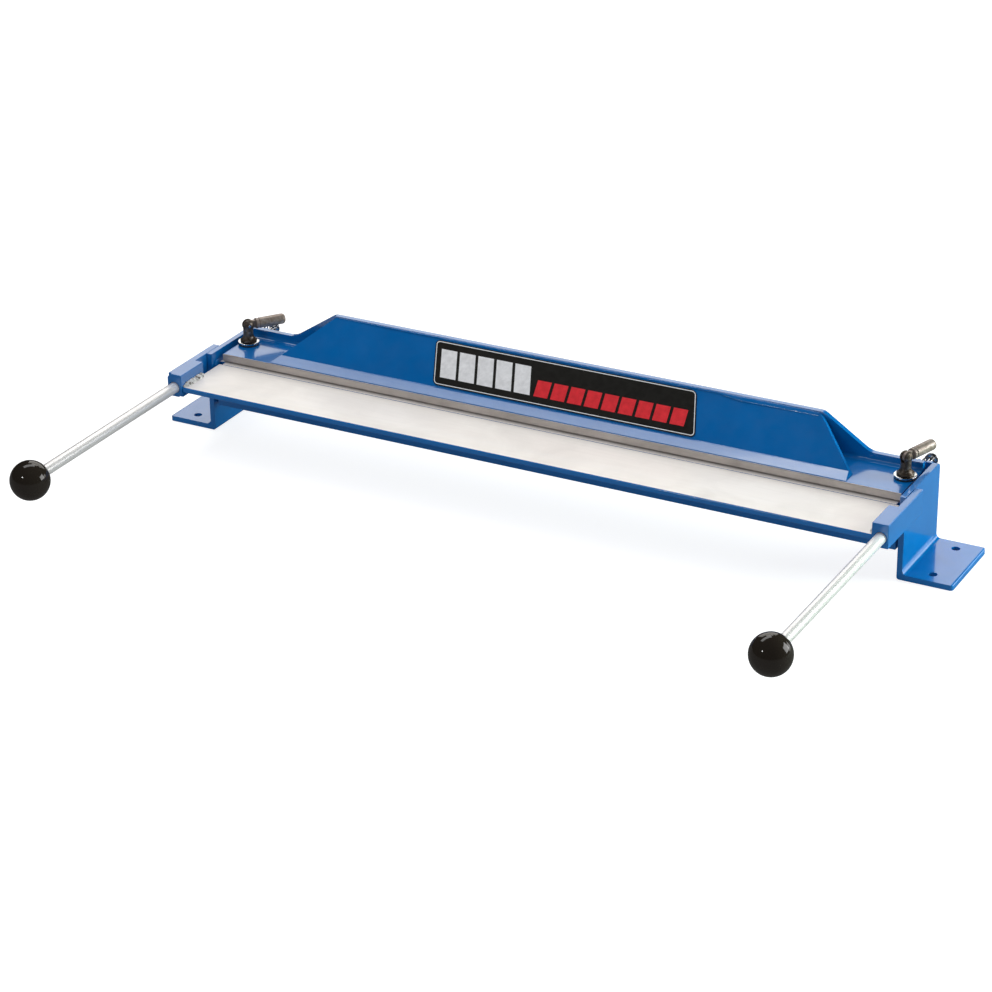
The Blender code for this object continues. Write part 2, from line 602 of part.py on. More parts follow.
# ---- assembly -----------------------------------------------------------------------
bed()
leaf_pieces = [leaf()]
bar_pieces = [clamp_bar(), stiffener_panel(), ridge_weld(), label_plate()]
for side, sign in SIDES:
    end_bracket(side, sign)
    bed_weld(side, sign)
    hinge_pin(side, sign)
    clamp_stud(side, sign)
    stud_nut(side, sign)
    lift_spring(side, sign)
    leaf_pieces += [arm(side, sign), leaf_weld(side, sign), handle_rod(side, sign),
                    knob(side, sign), knob_insert(side, sign)]
    bar_pieces += [*clamp_washers(side, sign), *set_back_adjuster(side, sign)]
    pivot = Vector((sign * STUD_X, STUD_Y, LEVER_Z))
    turn = math.radians(LEVER_TURN[side])
    hang(empty(f"clamp_head_{side}", pivot, LEVER_TURN[side]),
         clamp_nut(side, pivot, turn), clamp_lever(side, pivot, turn), lever_pin(side, pivot, turn))
hang(empty("leaf_hinge", (0, HINGE_Y, HINGE_Z)), *leaf_pieces)
hang(empty("bar_lift", (0, STUD_Y, BAR_Z0)), *bar_pieces)
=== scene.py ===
import json
import math

import bmesh
import bpy
from mathutils import Matrix, Vector


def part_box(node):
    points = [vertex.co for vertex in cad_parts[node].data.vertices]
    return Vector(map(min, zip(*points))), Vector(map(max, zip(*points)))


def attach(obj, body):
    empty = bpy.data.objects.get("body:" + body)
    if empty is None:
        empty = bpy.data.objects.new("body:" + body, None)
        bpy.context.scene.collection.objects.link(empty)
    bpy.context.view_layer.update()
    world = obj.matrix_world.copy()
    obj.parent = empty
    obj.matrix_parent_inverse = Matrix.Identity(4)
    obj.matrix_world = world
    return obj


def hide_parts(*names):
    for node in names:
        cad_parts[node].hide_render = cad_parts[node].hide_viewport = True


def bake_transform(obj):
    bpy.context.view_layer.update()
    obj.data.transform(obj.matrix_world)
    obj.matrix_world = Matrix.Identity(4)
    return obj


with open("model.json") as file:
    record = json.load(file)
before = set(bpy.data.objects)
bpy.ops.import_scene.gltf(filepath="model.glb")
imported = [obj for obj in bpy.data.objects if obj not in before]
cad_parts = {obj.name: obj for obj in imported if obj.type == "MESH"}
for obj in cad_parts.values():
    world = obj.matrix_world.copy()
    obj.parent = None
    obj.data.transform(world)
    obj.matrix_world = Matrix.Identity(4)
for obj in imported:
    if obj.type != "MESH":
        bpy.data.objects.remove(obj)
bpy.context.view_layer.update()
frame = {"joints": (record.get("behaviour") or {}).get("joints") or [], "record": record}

# Looks of a bench sheet metal folder. Metres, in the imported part's frame: +X along the
# working width, handles towards -Y, feet on Z = 0. Places come from the frame's boxes and
# joints; the sizes named here are wall thicknesses, bores, edge radii and finishes.
MM = 0.001
PLATE = 6 * MM
SKIN = 1 * MM                    # metal left over the blind end of a hinge pin
PIN_R = 5 * MM                   # hinge pin
BOLT_R = 4.5 * MM                # bolt hole in a foot
STUD_R = 4 * MM                  # clamp stud
COIL_R = 6.2 * MM                # middle of the wire, lift and adjuster springs
PIVOT_R = 1.7 * MM               # pin that a lever folds on
TONGUE = 4 * MM                  # thickness of a lever's tongue
LABEL_LEAN = 0.295               # sideways shift of the label for each unit up the panel
SIDES = (("left", -1), ("right", 1))
UP = Vector((0, 0, 1))


# ---- places read from the frame ------------------------------------------------------
def low(node):
    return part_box(node)[0]


def high(node):
    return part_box(node)[1]


def middle(node):
    return (low(node) + high(node)) / 2


def reach(node, sign):
    """(inner, outer) distance from the middle of the brake of a node at one end."""
    ends = sorted((sign * low(node).x, sign * high(node).x))
    return ends[0], ends[1]


JOINTS = {joint["name"]: joint for joint in frame["joints"]}
HINGE = Vector(JOINTS["leaf_fold"]["pos_m"])
BED_TOP = HINGE.z


# ---- mesh helpers --------------------------------------------------------------------
def shade(mesh, smooth):
    """Shade smooth but for edges sharper than an angle in degrees; 0 leaves the mesh alone."""
    if smooth:
        mesh.shade_smooth()
        mesh.set_sharp_from_angle(angle=math.radians(smooth))


def scratch(name, bm, smooth=35):
    """Loose object for a bmesh."""
    bmesh.ops.recalc_face_normals(bm, faces=bm.faces)
    mesh = bpy.data.meshes.new(name)
    bm.to_mesh(mesh)
    bm.free()
    shade(mesh, smooth)
    obj = bpy.data.objects.new(name, mesh)
    bpy.context.scene.collection.objects.link(obj)
    return obj


def applied(obj, smooth=35):
    """Replace an object's mesh with the result of its modifiers."""
    bpy.context.view_layer.update()
    graph = bpy.context.evaluated_depsgraph_get()
    mesh = bpy.data.meshes.new_from_object(obj.evaluated_get(graph))
    obj.modifiers.clear()
    obj.data = mesh
    shade(mesh, smooth)


def combine(obj, others, operation):
    """Boolean an object with others, which are used up."""
    for other in others:
        mod = obj.modifiers.new("Boolean", "BOOLEAN")
        mod.operation = operation
        mod.solver = "EXACT"
        mod.object = other
    applied(obj)
    for other in others:
        bpy.data.objects.remove(other, do_unlink=True)


def carve(obj, *others):
    combine(obj, others, "DIFFERENCE")


def weld_on(obj, *others):
    combine(obj, others, "UNION")


def soften(obj, width, segments=3, angle=30):
    """Round an object's sharp edges, keeping its flat faces flat under smooth shading."""
    mod = obj.modifiers.new("Bevel", "BEVEL")
    mod.width = width
    mod.segments = segments
    mod.limit_method = "ANGLE"
    mod.angle_limit = math.radians(angle)
    mod.use_clamp_overlap = True
    applied(obj)
    weigh = obj.modifiers.new("Normals", "WEIGHTED_NORMAL")
    weigh.weight = 100
    weigh.keep_sharp = True
    applied(obj, 0)


def piece(obj, body, slot, *finishes, replaces=()):
    """Hand an object over as a visible piece on a body."""
    obj.data.materials.clear()
    for finish in finishes:
        obj.data.materials.append(finish)
    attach(obj, body)
    if replaces:
        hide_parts(*replaces)


def by_facing(obj, test, index):
    """Give the faces that pass a test another of the object's materials."""
    for polygon in obj.data.polygons:
        if test(polygon):
            polygon.material_index = index


def pulled(name, outline, axis, start, end):
    """Outline pulled along an axis: (Y, Z) across X, (X, Z) across Y, (X, Y) across Z."""
    spot = {"X": lambda a, b: (start, a, b), "Y": lambda a, b: (a, start, b),
            "Z": lambda a, b: (a, b, start)}[axis]
    pull = Vector([end - start if axis == letter else 0 for letter in "XYZ"])
    bm = bmesh.new()
    face = bm.faces.new([bm.verts.new(spot(a, b)) for a, b in outline])
    grown = bmesh.ops.extrude_face_region(bm, geom=[face])["geom"]
    bmesh.ops.translate(bm, vec=pull, verts=[v for v in grown if isinstance(v, bmesh.types.BMVert)])
    return scratch(name, bm)


def slab(name, first, second):
    """Box between two corners."""
    first, second = Vector(first), Vector(second)
    bm = bmesh.new()
    bmesh.ops.create_cube(bm, size=1, matrix=Matrix.Translation((first + second) / 2)
                          @ Matrix.Diagonal((*(second - first), 1)))
    return scratch(name, bm)


def facing(axis, turn=0.0):
    """Rotation that lays the local Z axis along X, Y or Z, after a turn in plan."""
    tilt = {"X": Matrix.Rotation(math.pi / 2, 4, "Y"), "Y": Matrix.Rotation(-math.pi / 2, 4, "X"),
            "Z": Matrix.Identity(4)}[axis]
    return Matrix.Rotation(turn, 4, "Z") @ tilt


def turned(name, profile, place, axis="Z", turn=0.0, steps=64, ring=False, smooth=35):
    """Profile of (radius, height) turned about an axis through a place."""
    bm = bmesh.new()
    verts = [bm.verts.new((radius, 0, height)) for radius, height in profile]
    edges = [bm.edges.new(pair) for pair in zip(verts, verts[1:])]
    if ring:
        edges.append(bm.edges.new((verts[-1], verts[0])))
    bmesh.ops.spin(bm, geom=verts + edges, axis=UP, cent=(0, 0, 0), steps=steps,
                   angle=2 * math.pi, use_merge=True)
    bmesh.ops.remove_doubles(bm, verts=bm.verts, dist=1e-7)
    bmesh.ops.dissolve_degenerate(bm, edges=bm.edges, dist=1e-8)
    bmesh.ops.transform(bm, matrix=Matrix.Translation(place) @ facing(axis, turn), verts=bm.verts)
    return scratch(name, bm, smooth)


def closed(bm, rings):
    """Join equal rings of vertices, one to the next, and close both ends."""
    count = len(rings[0])
    for first, second in zip(rings, rings[1:]):
        for k in range(count):
            bm.faces.new((first[k], first[(k + 1) % count], second[(k + 1) % count], second[k]))
    bm.faces.new(rings[0])
    bm.faces.new(rings[-1])


def arc(centre, radius, start, end, steps=8):
    """Points of an arc, angles in degrees."""
    turns = [math.radians(start + (end - start) * step / steps) for step in range(steps + 1)]
    return [(centre[0] + radius * math.cos(turn), centre[1] + radius * math.sin(turn)) for turn in turns]


def bar_profile(radius, start, end, edge=0.4 * MM):
    """Profile of a round bar with rounded ends."""
    return ([(0, start)] + arc((radius - edge, start + edge), edge, -90, 0, 4)
            + arc((radius - edge, end - edge), edge, 0, 90, 4) + [(0, end)])


def ring_profile(hole, radius, start, end, edge=0.25 * MM):
    """Profile of a washer with rounded edges."""
    points = []
    for centre, first in (((radius - edge, start + edge), -90), ((radius - edge, end - edge), 0),
                          ((hole + edge, end - edge), 90), ((hole + edge, start + edge), 180)):
        points += arc(centre, edge, first, first + 90, 3)
    return points


def mirrored(outline, sign):
    return [(sign * a, b) for a, b in outline]


def ripple(index, spread, seed):
    """Repeatable unevenness between -spread and spread."""
    return spread * math.sin(index * 2.399 + seed) * math.cos(index * 0.731 + 2 * seed)


# ---- material helpers ------------------------------------------------------------------
class Surface:
    """Principled material with a few shorthands for its node tree."""

    def __init__(self, name, colour, metallic, roughness, **extra):
        self.material = bpy.data.materials.new(name)
        self.material.use_nodes = True
        self.tree = self.material.node_tree
        self.shader = self.tree.nodes["Principled BSDF"]
        self.shader.inputs["Base Color"].default_value = (*colour, 1)
        self.shader.inputs["Metallic"].default_value = metallic
        self.shader.inputs["Roughness"].default_value = roughness
        for socket, value in extra.items():
            self.shader.inputs[socket.replace("_", " ")].default_value = value
        self.place = self.node("ShaderNodeTexCoord").outputs["Object"]
        self.height = None

    def node(self, kind):
        return self.tree.nodes.new(kind)

    def join(self, source, target):
        self.tree.links.new(source, target)

    def stretched(self, scale):
        """Place in the object, scaled per axis."""
        mapping = self.node("ShaderNodeMapping")
        mapping.inputs["Scale"].default_value = scale
        self.join(self.place, mapping.inputs["Vector"])
        return mapping.outputs["Vector"]

    def noise(self, scale, detail=3.0, roughness=0.55, place=None, distortion=0.0):
        made = self.node("ShaderNodeTexNoise")
        made.inputs["Scale"].default_value = scale
        made.inputs["Detail"].default_value = detail
        made.inputs["Roughness"].default_value = roughness
        made.inputs["Distortion"].default_value = distortion
        self.join(place or self.place, made.inputs["Vector"])
        return made.outputs["Fac"]

    def spread(self, source, low_in, high_in, low_out, high_out):
        made = self.node("ShaderNodeMapRange")
        for socket, value in (("From Min", low_in), ("From Max", high_in),
                              ("To Min", low_out), ("To Max", high_out)):
            made.inputs[socket].default_value = value
        self.join(source, made.inputs["Value"])
        return made.outputs["Result"]

    def blend(self, factor, first, second):
        """Mix of two colours, each a tuple or an output."""
        made = self.node("ShaderNodeMix")
        made.data_type = "RGBA"
        self.join(factor, made.inputs[0])
        for socket, value in ((made.inputs[6], first), (made.inputs[7], second)):
            if isinstance(value, tuple):
                socket.default_value = (*value, 1)
            else:
                self.join(value, socket)
        return made.outputs[2]

    def colour(self, source):
        self.join(source, self.shader.inputs["Base Color"])

    def roughness(self, source):
        self.join(source, self.shader.inputs["Roughness"])

    def bump(self, source, distance, strength):
        """Add a bump layer; layers are chained."""
        made = self.node("ShaderNodeBump")
        made.inputs["Strength"].default_value = strength
        made.inputs["Distance"].default_value = distance
        self.join(source, made.inputs["Height"])
        if self.height:
            self.join(self.height, made.inputs["Normal"])
        self.height = made.outputs["Normal"]
        self.join(self.height, self.shader.inputs["Normal"])


def paint(name, colour, deep):
    """Thick glossy enamel: orange peel, faint dust nibs and uneven depth of colour."""
    s = Surface(name, colour, 0.0, 0.2, IOR=1.55, Coat_Weight=0.8, Coat_Roughness=0.06, Coat_IOR=1.6)
    cloud = s.noise(22, 4)
    s.colour(s.blend(s.spread(cloud, 0.35, 0.7, 0.0, 1.0), colour, deep))
    s.roughness(s.spread(s.noise(60, 3), 0.3, 0.7, 0.16, 0.27))
    s.bump(s.noise(420, 2, 0.4), 0.00006, 0.5)
    s.bump(s.noise(1500, 1, 0.3), 0.00002, 0.35)
    return s.material


def ground_steel(name, colour, dull, metallic):
    """Bare rolled plate: long faint streaks, cloudy oxide mottling and fine scratches."""
    s = Surface(name, colour, metallic, 0.42)
    streak = s.noise(1.0, 5, 0.6, s.stretched((14, 260, 260)))
    scratch_lines = s.noise(1.0, 2, 0.5, s.stretched((30, 2400, 2400)))
    cloud = s.noise(16, 5, 0.6, distortion=0.6)
    tone = s.blend(s.spread(cloud, 0.42, 0.72, 0.0, 0.7), colour, dull)
    s.colour(s.blend(s.spread(streak, 0.45, 0.75, 0.0, 0.35), tone, dull))
    s.roughness(s.spread(cloud, 0.3, 0.75, 0.34, 0.52))
    s.bump(scratch_lines, 0.00001, 0.35)
    s.bump(s.noise(260, 3), 0.00002, 0.25)
    return s.material


def zinc(name):
    """Bright plating with a faint cloudy passivation."""
    colour = (0.86, 0.87, 0.88)
    s = Surface(name, colour, 1.0, 0.2)
    cloud = s.noise(90, 4)
    s.colour(s.blend(s.spread(cloud, 0.4, 0.75, 0.0, 0.6), colour, (0.70, 0.72, 0.73)))
    s.roughness(s.spread(s.noise(240, 3), 0.3, 0.7, 0.14, 0.28))
    s.bump(s.noise(900, 2), 0.00001, 0.3)
    return s.material


def satin_plating(name):
    """Bright satin plating on drawn bar: lengthwise draw lines and faint handling marks."""
    bright, worn = (0.97, 0.945, 0.94), (0.88, 0.86, 0.855)
    s = Surface(name, bright, 0.42, 0.3)
    lines = s.noise(1.0, 3, 0.6, s.stretched((900, 9, 900)))
    smudge = s.noise(26, 4, 0.6, distortion=0.5)
    tone = s.blend(s.spread(smudge, 0.45, 0.75, 0.0, 0.6), bright, worn)
    s.colour(s.blend(s.spread(lines, 0.55, 0.85, 0.0, 0.2), tone, (0.78, 0.78, 0.77)))
    s.roughness(s.spread(smudge, 0.3, 0.7, 0.26, 0.38))
    s.bump(lines, 0.000003, 0.2)
    return s.material


def worn_steel(name, pale, dark, rubbed, metallic, share, grain):
    """Blackened steel gone brown in patches and rubbed to grey on the high spots."""
    s = Surface(name, pale, metallic, 0.38)
    patch = s.noise(190, 5, 0.65, distortion=0.8)
    brown = s.blend(s.spread(s.noise(90, 3), 0.35, 0.65, 0.0, 1.0), pale, dark)
    s.colour(s.blend(s.spread(patch, 0.5, 0.66, 0.0, share), brown, rubbed))
    s.roughness(s.spread(patch, 0.3, 0.7, 0.5, 0.28))
    s.bump(s.noise(420, 4, 0.6), grain, 0.5)
    return s.material


def wire_steel(name):
    """Dark oiled spring wire, paler where it is rubbed."""
    dark, rubbed = (0.09, 0.09, 0.095), (0.2, 0.2, 0.2)
    s = Surface(name, (0.11, 0.11, 0.115), 1.0, 0.3)
    s.colour(s.blend(s.spread(s.noise(300, 3), 0.4, 0.7, 0.0, 1.0), dark, rubbed))
    s.bump(s.noise(1400, 2), 0.00001, 0.3)
    return s.material


def phenolic(name):
    """Polished black moulding with fine swirl marks in its gloss."""
    s = Surface(name, (0.022, 0.0175, 0.0135), 0.0, 0.07, IOR=1.52)
    s.roughness(s.spread(s.noise(130, 4), 0.35, 0.75, 0.04, 0.1))
    s.bump(s.noise(260, 2), 0.00001, 0.25)
    return s.material


def weld_metal(name):
    """Bright, spattered bead, with dark spots painted in as the shade of the pits between its ripples."""
    bright, pit_shade = (0.92, 0.92, 0.91), (0.14, 0.11, 0.09)
    s = Surface(name, (0.9, 0.9, 0.89), 0.45, 0.32)
    # Dark patches are painted shade standing for the hollows and pits between the ripples.
    s.colour(s.blend(s.spread(s.noise(260, 4), 0.54, 0.64, 0.0, 1.0), bright, pit_shade))
    s.bump(s.noise(700, 3), 0.0002, 0.6)
    return s.material


def brass(name):
    """Turned brass, uneven in polish."""
    s = Surface(name, (0.75, 0.55, 0.25), 1.0, 0.25)
    s.roughness(s.spread(s.noise(300, 3), 0.3, 0.7, 0.18, 0.34))
    return s.material


def print_ink(name, colour):
    """Printed vinyl: faint grain under a satin film."""
    s = Surface(name, colour, 0.0, 0.35, Coat_Weight=0.4, Coat_Roughness=0.15)
    paler = tuple(min(1.0, c * 1.25 + 0.004) for c in colour)
    s.colour(s.blend(s.spread(s.noise(150, 3), 0.35, 0.7, 0.0, 1.0), colour, paler))
    s.bump(s.noise(1200, 2), 0.00001, 0.3)
    return s.material


BLUE = paint("blue_enamel", (0.0010, 0.158, 0.495), (0.0008, 0.14, 0.445))
STEEL = ground_steel("bare_plate", (0.96, 0.915, 0.87), (0.83, 0.785, 0.745), 0.2)
# Bare ground nose; its colours are set darker than the plate's as painted shade for the dark surroundings it
# faces and reflects.
NOSE = ground_steel("ground_nose_painted_shade", (0.62, 0.565, 0.525), (0.42, 0.38, 0.345), 0.55)
ZINC = zinc("bright_zinc")
ROD = satin_plating("satin_plating")
OXIDE = worn_steel("worn_oxide", (0.17, 0.14, 0.11), (0.075, 0.052, 0.035), (0.34, 0.31, 0.28), 0.75, 0.8,
                   0.0001)
LEVER = worn_steel("worn_lever", (0.37, 0.31, 0.28), (0.24, 0.185, 0.15), (0.53, 0.475, 0.45), 0.5, 0.6,
                   0.00003)
WIRE = wire_steel("spring_wire")
BALL = phenolic("black_phenolic")
WELD = weld_metal("weld_bead")
BRASS = brass("turned_brass")
INK_BLACK = print_ink("label_black", (0.011, 0.010, 0.008))
INK_WHITE = print_ink("label_white", (0.82, 0.82, 0.82))
INK_RED = print_ink("label_red", (0.75, 0.02, 0.03))


# ---- fixed frame --------------------------------------------------------------------
def end_bracket(side, sign):
    """Rolled angle: rounded toe and heel, inner fillet, two bolt holes, rounded crown."""
    node = f"end_bracket_{side}"
    inner, outer = reach(node, sign)
    front, rear, top = low(node).y, high(node).y, high(node).z
    face, fillet, heel, toe = inner + PLATE, 5 * MM, 2.6 * MM, 2.2 * MM
    outline = [(inner, top)] + arc((inner + heel, heel), heel, 180, 270, 4)
    outline += [(outer, 0)] + arc((outer - toe, PLATE - toe), toe, 0, 90, 5)
    outline += arc((face + fillet, PLATE + fillet), fillet, 270, 180, 8) + [(face, top)]
    obj = pulled(f"bracket_{side}", mirrored(outline, sign), "Y", front, rear)
    crown, nip = 7 * MM, 3.5 * MM
    corner = [(rear + crown, top + crown), (rear - crown, top + crown)]
    corner += arc((rear - crown, top - crown), crown, 90, 0, 10) + [(rear + crown, top - crown)]
    cutters = [pulled("cut_crown", corner, "X", sign * (inner - MM), sign * (face + MM))]
    for edge, way in ((front, -1), (rear, 1)):
        nick = arc((outer - nip, edge - way * nip), nip, 90 * way, 0, 8)
        nick += [(outer + nip, edge - way * nip), (outer + nip, edge + way * nip),
                 (outer - nip, edge + way * nip)]
        cutters.append(pulled("cut_nick", mirrored(nick, sign), "Z", -PLATE, 2 * PLATE))
    for hole in frame["record"]["physics"]["openings"]:
        if side in hole["name"]:
            corners = [Vector(corner) for corner in hole["box_m"]]
            spot = (corners[0] + corners[1]) / 2
            spot.z = 0
            cutters.append(turned("cut_hole", bar_profile(BOLT_R, -PLATE, 2 * PLATE), spot, steps=40))
    cutters.append(turned("cut_pin", bar_profile(PIN_R + 0.25 * MM, -2 * PLATE, 2 * PLATE),
                          (sign * inner, HINGE.y, HINGE.z), "X", steps=40))
    carve(obj, *cutters)
    soften(obj, 0.7 * MM, 2)
    piece(obj, "frame", "blue_paint", BLUE, replaces=[node])


# Cross section of a bead: shares of its width away from the wall and of its height up it.
BEAD_SECTION = ((0, 0), (-1, 0), (-0.98, 0.12), (-0.72, 0.42), (-0.4, 0.72), (-0.12, 0.98), (0, 1))


def bead(name, start, end, width, height, wall, seed, body, slot, finish, replaces, lump, flare=None):
    """Weld bead between two points: overlapping ripples on a fillet that leans on a wall.

    wall is the unit vector from the bead towards the upright plate. lump is the height of the
    ripples as a share of the bead. flare gives, for a share of the length, how much further
    the bead runs down a 45 degree face below it.
    """
    start, end, wall = Vector(start), Vector(end), Vector(wall)
    length = (end - start).length
    along = (end - start).normalized()
    rise = along.cross(wall)
    if rise.z < 0:
        rise = -rise
    stations = max(24, int(length / (0.55 * MM)))
    bm = bmesh.new()
    rings = []
    for index in range(stations + 1):
        share = index / stations
        wave = abs(math.sin(index * math.pi / 4.2 + ripple(index // 4, 0.6, seed)))
        ends = min(1.0, 5.0 * share + 0.35, 5.0 * (1 - share) + 0.35)
        swell = ends * (1 - lump + lump * wave + ripple(index // 5, lump, seed + 1))
        extra = flare(share) if flare else 0
        base = start + along * (length * share) - rise * extra
        wide, tall = width * swell + extra, height * swell + extra
        rings.append([bm.verts.new(base + wall * (across * wide) + rise * (up * tall))
                      for across, up in BEAD_SECTION])
    closed(bm, rings)
    piece(scratch(name, bm, 60), body, slot, finish, replaces=replaces)


def bed():
    """Fixed angle under the clamp bar, with its adjuster tabs."""
    lo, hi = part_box("bed")
    under, leg_in, root, lip = BED_TOP - PLATE, lo.y + PLATE, 4 * MM, 0.2 * MM
    outline = [(lo.y, lo.z), (leg_in, lo.z)]
    outline += arc((leg_in + root, under - root), root, 180, 90, 6)
    outline += [(hi.y, under), (hi.y, BED_TOP)]
    outline += arc((lo.y + lip, BED_TOP - lip), lip, 90, 180, 5)
    obj = pulled("bed_angle", outline, "X", lo.x, hi.x)
    adjuster = middle("adjuster_stud_right")
    tab_in, tab_out = adjuster.x - 9 * MM, hi.x
    tab_front = hi.y - 4 * MM
    slot_foot = adjuster.z - 4.6 * MM
    carve(obj, slab("cut_rear", (-tab_in, tab_front - 3.5 * MM, 0), (tab_in, hi.y + PLATE, 0.1)))
    for side, sign in SIDES:
        stud = middle(f"clamp_stud_{side}")
        half = 3.4 * MM
        tab = [(tab_in, BED_TOP - 2 * MM), (tab_out, BED_TOP - 2 * MM), (tab_out, hi.z),
               (adjuster.x + half, hi.z)]
        tab += arc((adjuster.x, slot_foot + half), half, 0, -180, 10)
        tab += [(adjuster.x - half, hi.z), (tab_in + 3 * MM, hi.z), (tab_in, hi.z - 3 * MM)]
        weld_on(obj, pulled("tab", mirrored(tab, sign), "Y", tab_front, hi.y))
        end = sign * (hi.x - 3 * MM)
        carve(obj, turned("cut_stud", bar_profile(4.3 * MM, -PLATE * 2, PLATE), (stud.x, stud.y, BED_TOP)),
              slab("cut_pin_room", (end - 4 * MM, lo.y - MM, HINGE.z - 6.5 * MM),
                   (end + 4 * MM, HINGE.y + 6.5 * MM, HINGE.z + MM)))
    soften(obj, 0.15 * MM, 1)
    piece(obj, "frame", "blue_paint", BLUE, STEEL, replaces=["bed"])
    by_facing(obj, lambda p: p.normal.z > 0.9 and abs(p.center.z - BED_TOP) < 0.1 * MM, 1)


def hinge_pin(side, sign):
    """Plain pin through the bracket, ending inside the arm."""
    node = f"hinge_pin_{side}"
    inner, outer = reach(node, sign)
    start, end = sorted((sign * (outer - 2 * SKIN), sign * inner))
    obj = turned(f"pin_{side}", bar_profile(PIN_R, start, end, 0.5 * MM),
                 (0, HINGE.y, HINGE.z), "X", steps=48)
    piece(obj, "frame", "zinc", BLUE, replaces=[node])


def threaded(name, radius, start, end, pitch, place, axis, depth=0.45 * MM, steps=24):
    """Bar with a helical thread and chamfered ends."""
    rows_per_turn = 6
    rows = int((end - start) / pitch * rows_per_turn)
    bm = bmesh.new()
    rings = []
    for row in range(rows + 1):
        height = start + (end - start) * row / rows
        ring = []
        for k in range(steps):
            phase = (height - start) / pitch - k / steps
            crest = abs((phase % 1.0) * 2 - 1)
            fade = min(1.0, (height - start) / pitch, (end - height) / pitch)
            size = radius - depth * (1 - crest) * 0.9 - depth * (1 - fade)
            angle = 2 * math.pi * k / steps
            ring.append(bm.verts.new((size * math.cos(angle), size * math.sin(angle), height)))
        rings.append(ring)
    closed(bm, rings)
    bmesh.ops.transform(bm, matrix=Matrix.Translation(place) @ facing(axis), verts=bm.verts)
    return scratch(name, bm, 50)


def clamp_stud(side):
    node = f"clamp_stud_{side}"
    lo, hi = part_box(node)
    spot = middle(node)
    obj = threaded(f"stud_{side}", STUD_R, lo.z, hi.z, 1.25 * MM, (spot.x, spot.y, 0), "Z")
    piece(obj, "frame", "zinc", ZINC, replaces=[node])


def hexagon(name, corner, start, end, hole, place, axis):
    """Hexagon nut, its corners turned back by the chamfer cone."""
    flat = corner * math.cos(math.pi / 6)
    chamfer, hair = (corner - flat) * 0.6, 0.01 * MM
    obj = turned(name, bar_profile(corner, start, end, hair), place, axis, steps=6, smooth=20)
    cone = turned("cone", [(0, start), (flat, start), (corner + hair, start + chamfer),
                           (corner + hair, end - chamfer), (flat, end), (0, end)],
                  place, axis, steps=48)
    combine(obj, [cone], "INTERSECT")
    carve(obj, turned("hole", bar_profile(hole, start - MM, end + MM), place, axis, steps=32))
    applied(obj, 25)
    return obj


def stud_nut(side):
    node = f"stud_nut_{side}"
    lo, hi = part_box(node)
    spot = middle(node)
    obj = hexagon(f"nut_under_{side}", 7.5 * MM, lo.z, hi.z, 4.2 * MM, (spot.x, spot.y, 0), "Z")
    piece(obj, "frame", "zinc", ZINC, replaces=[node])


def spring(name, wire, radius, heights, place, axis, per_turn=40):
    """Coil through heights reached after each whole turn, ends flattened."""
    centres = []
    turns = len(heights) - 1
    for step in range(turns * per_turn + 1):
        whole, part = divmod(step, per_turn)
        base, after = heights[whole], heights[min(whole + 1, turns)]
        share = part / per_turn
        angle = 2 * math.pi * share
        height = base + (after - base) * share
        centres.append(Vector((radius * math.cos(angle), radius * math.sin(angle), height)))
    radii = [wire] * len(centres)
    for index in range(6):
        ground = wire * min(1, 0.55 + 0.09 * index)
        radii[index] = radii[-1 - index] = ground
    sides = 10
    angles = [2 * math.pi * k / sides for k in range(sides)]
    bm = bmesh.new()
    rings = []
    for centre, size in zip(centres, radii):
        outward = Vector((centre.x, centre.y, 0)).normalized()
        rings.append([bm.verts.new(centre + size * (math.cos(angle) * outward + math.sin(angle) * UP))
                      for angle in angles])
    closed(bm, rings)
    bmesh.ops.transform(bm, matrix=Matrix.Translation(place) @ facing(axis), verts=bm.verts)
    return scratch(name, bm, 60)


def lift_spring(side):
    """Coil whose foot stands on the bed and whose top meets the clamp bar; it is left loose, on no body."""
    node = f"lift_spring_{side}"
    lo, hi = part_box(node)
    spot = middle(f"clamp_stud_{side}")
    wire = 0.8 * MM
    first, last = lo.z + wire, hi.z - wire
    heights = [first + (last - first) * turn / 3 for turn in range(4)]
    obj = spring(f"lifter_{side}", wire, COIL_R, heights, (spot.x, spot.y, 0), "Z")
    obj.data.materials.append(WIRE)
    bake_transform(obj)
    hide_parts(node)


# ---- folding leaf -------------------------------------------------------------------
def leaf():
    """Plate bent down at the hinge line; bare on top, painted on its edge and below."""
    lo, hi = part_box("folding_leaf")
    under, leg_in, root, toe, lip = hi.z - PLATE, hi.y - PLATE, 4 * MM, 1.6 * MM, 0.15 * MM
    outline = [(hi.y, hi.z - lip), (hi.y, lo.z), (leg_in, lo.z)]
    outline += arc((leg_in - root, under - root), root, 0, 90, 6)
    outline += arc((lo.y + toe, under + toe), toe, 270, 180, 5)
    outline += arc((lo.y + toe, hi.z - toe), toe, 180, 90, 6)
    outline += [(hi.y - lip, hi.z)]
    obj = pulled("leaf_plate", outline, "X", lo.x, hi.x)
    soften(obj, 0.3 * MM, 2, 60)
    piece(obj, "leaf", "bare_steel", BLUE, STEEL, replaces=["folding_leaf"])
    by_facing(obj, lambda p: p.normal.z > 0.93 and p.center.z > under, 1)


